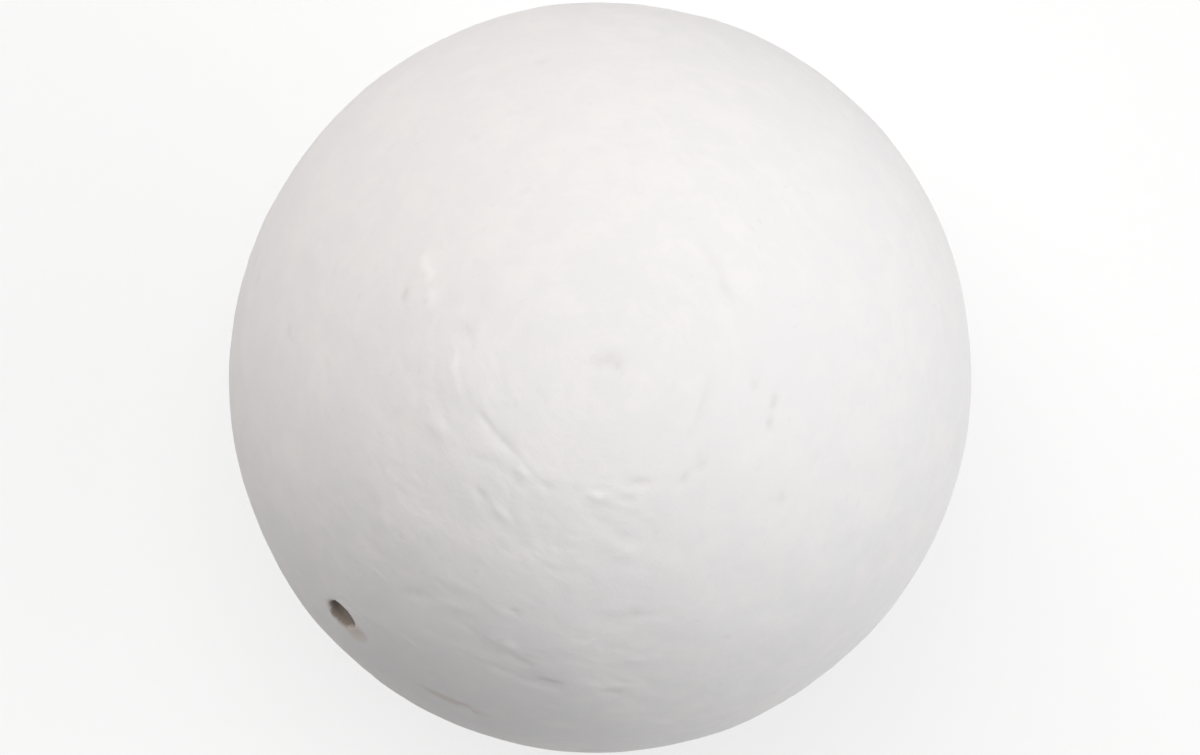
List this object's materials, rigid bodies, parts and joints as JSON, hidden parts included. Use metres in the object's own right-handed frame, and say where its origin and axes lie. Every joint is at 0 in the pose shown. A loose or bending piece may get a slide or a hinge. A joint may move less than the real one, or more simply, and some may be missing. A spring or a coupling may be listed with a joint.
{
  "type": "pressed cotton ball",
  "caption": "Hard-pressed round ball of wound cotton with flattened, creased ends and a blind hole pierced in its side for a thin stick or wire.",
  "frame": {"origin": "centre of the ball", "axes": "+Z along the winding axis, out of the middle of the more creased cap; +X towards the side with the stick hole, whose axis lies in the XZ plane and leans 22 degrees up from +X"},
  "size_m": [0.05, 0.0496, 0.0494],
  "materials": {
    "pressed_cotton": "matte, hard-pressed, faintly creased"
  },
  "bodies": {
    "root": {"ball": "pressed_cotton"}
  },
  "joints": []
}
